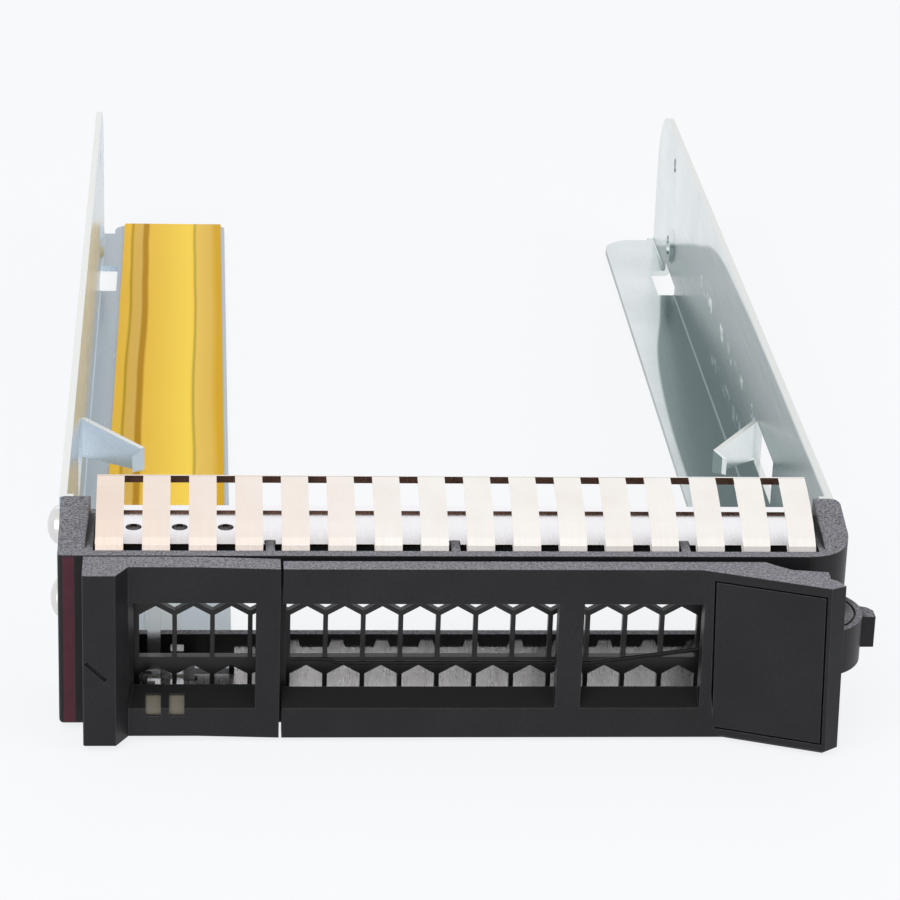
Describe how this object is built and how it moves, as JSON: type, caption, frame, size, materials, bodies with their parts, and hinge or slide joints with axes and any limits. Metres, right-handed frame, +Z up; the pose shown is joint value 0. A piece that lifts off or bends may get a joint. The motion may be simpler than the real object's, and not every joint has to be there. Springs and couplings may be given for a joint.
{
  "type": "hot swap drive caddy",
  "caption": "Hot swap caddy for a 3.5 inch drive: side rails, black vented bezel with a swing-out ejector lever, release slide and EMI spring strips.",
  "frame": {"origin": "middle of the footprint at the underside of the rail flanges", "axes": "+X to the right as seen from the front, +Y from the bezel to the connector end, +Z up"},
  "size_m": [0.1116, 0.2126, 0.0308],
  "materials": {
    "black_moulding": "satin black moulding with a fine grain",
    "burgundy_inlay": "satin burgundy moulding",
    "black_grille": "satin black moulding",
    "spring_strip_metal": "bright spring strip, faint warm tint",
    "spring_strip_metal_low": "bright spring strip",
    "contact_metal": "bright pressed spring metal",
    "black_slide": "smooth satin front, grained sill",
    "coil_wire": "bright spring wire",
    "black_lever": "smooth satin front, grained top and sill",
    "pin_steel": "ground steel",
    "black_wire": "blackened spring wire",
    "zinc_sheet_left": "bright zinc, near mirror",
    "zinc_sheet_right": "bright zinc, near mirror",
    "screw_steel": "plated screws",
    "circuit_board": "pale grey solder mask",
    "led_body": "pale lens",
    "clear_pipe_left": "clear moulding",
    "clear_pipe_right": "clear moulding",
    "clear_lens_left": "clear moulding",
    "clear_lens_right": "clear moulding",
    "black_clip": "satin black moulding",
    "copper_flex": "amber flexible circuit",
    "amber_film": "clear amber film, glossy"
  },
  "bodies": {
    "carrier": {"bezel_frame": "black_moulding", "touch_strip": "burgundy_inlay", "hex_grille": "black_grille", "top_emi_spring": "spring_strip_metal", "bottom_emi_spring": "spring_strip_metal_low", "side_contacts": "contact_metal", "latch_spring": "coil_wire", "lever_hinge_pin": "pin_steel", "left_rail": "zinc_sheet_left", "right_rail": "zinc_sheet_right", "rail_screws": "screw_steel", "led_board": "circuit_board", "status_leds": "led_body", "light_pipe_left": "clear_pipe_left", "light_pipe_right": "clear_pipe_right", "light_pipe_clip": "black_clip", "flex_circuit": "copper_flex", "insulator_film": "amber_film"},
    "release": {"left_fascia": "black_slide", "light_lens_left": "clear_lens_left", "light_lens_right": "clear_lens_right"},
    "lever": {"ejector_lever": "black_lever", "lever_spring": "black_wire"}
  },
  "joints": [
    {"name": "lever_hinge", "type": "hinge", "parent": "carrier", "child": "lever", "pos_m": [0.0465, -0.09398, 0.01307], "axis": [0, 0, 1], "range_deg": [0, 55]},
    {"name": "release_slide", "type": "slide", "parent": "carrier", "child": "release", "axis": [-1, 0, 0], "range_m": [0, 0.002], "stiffness_N_per_m": 300, "deforming": ["latch_spring"]}
  ]
}
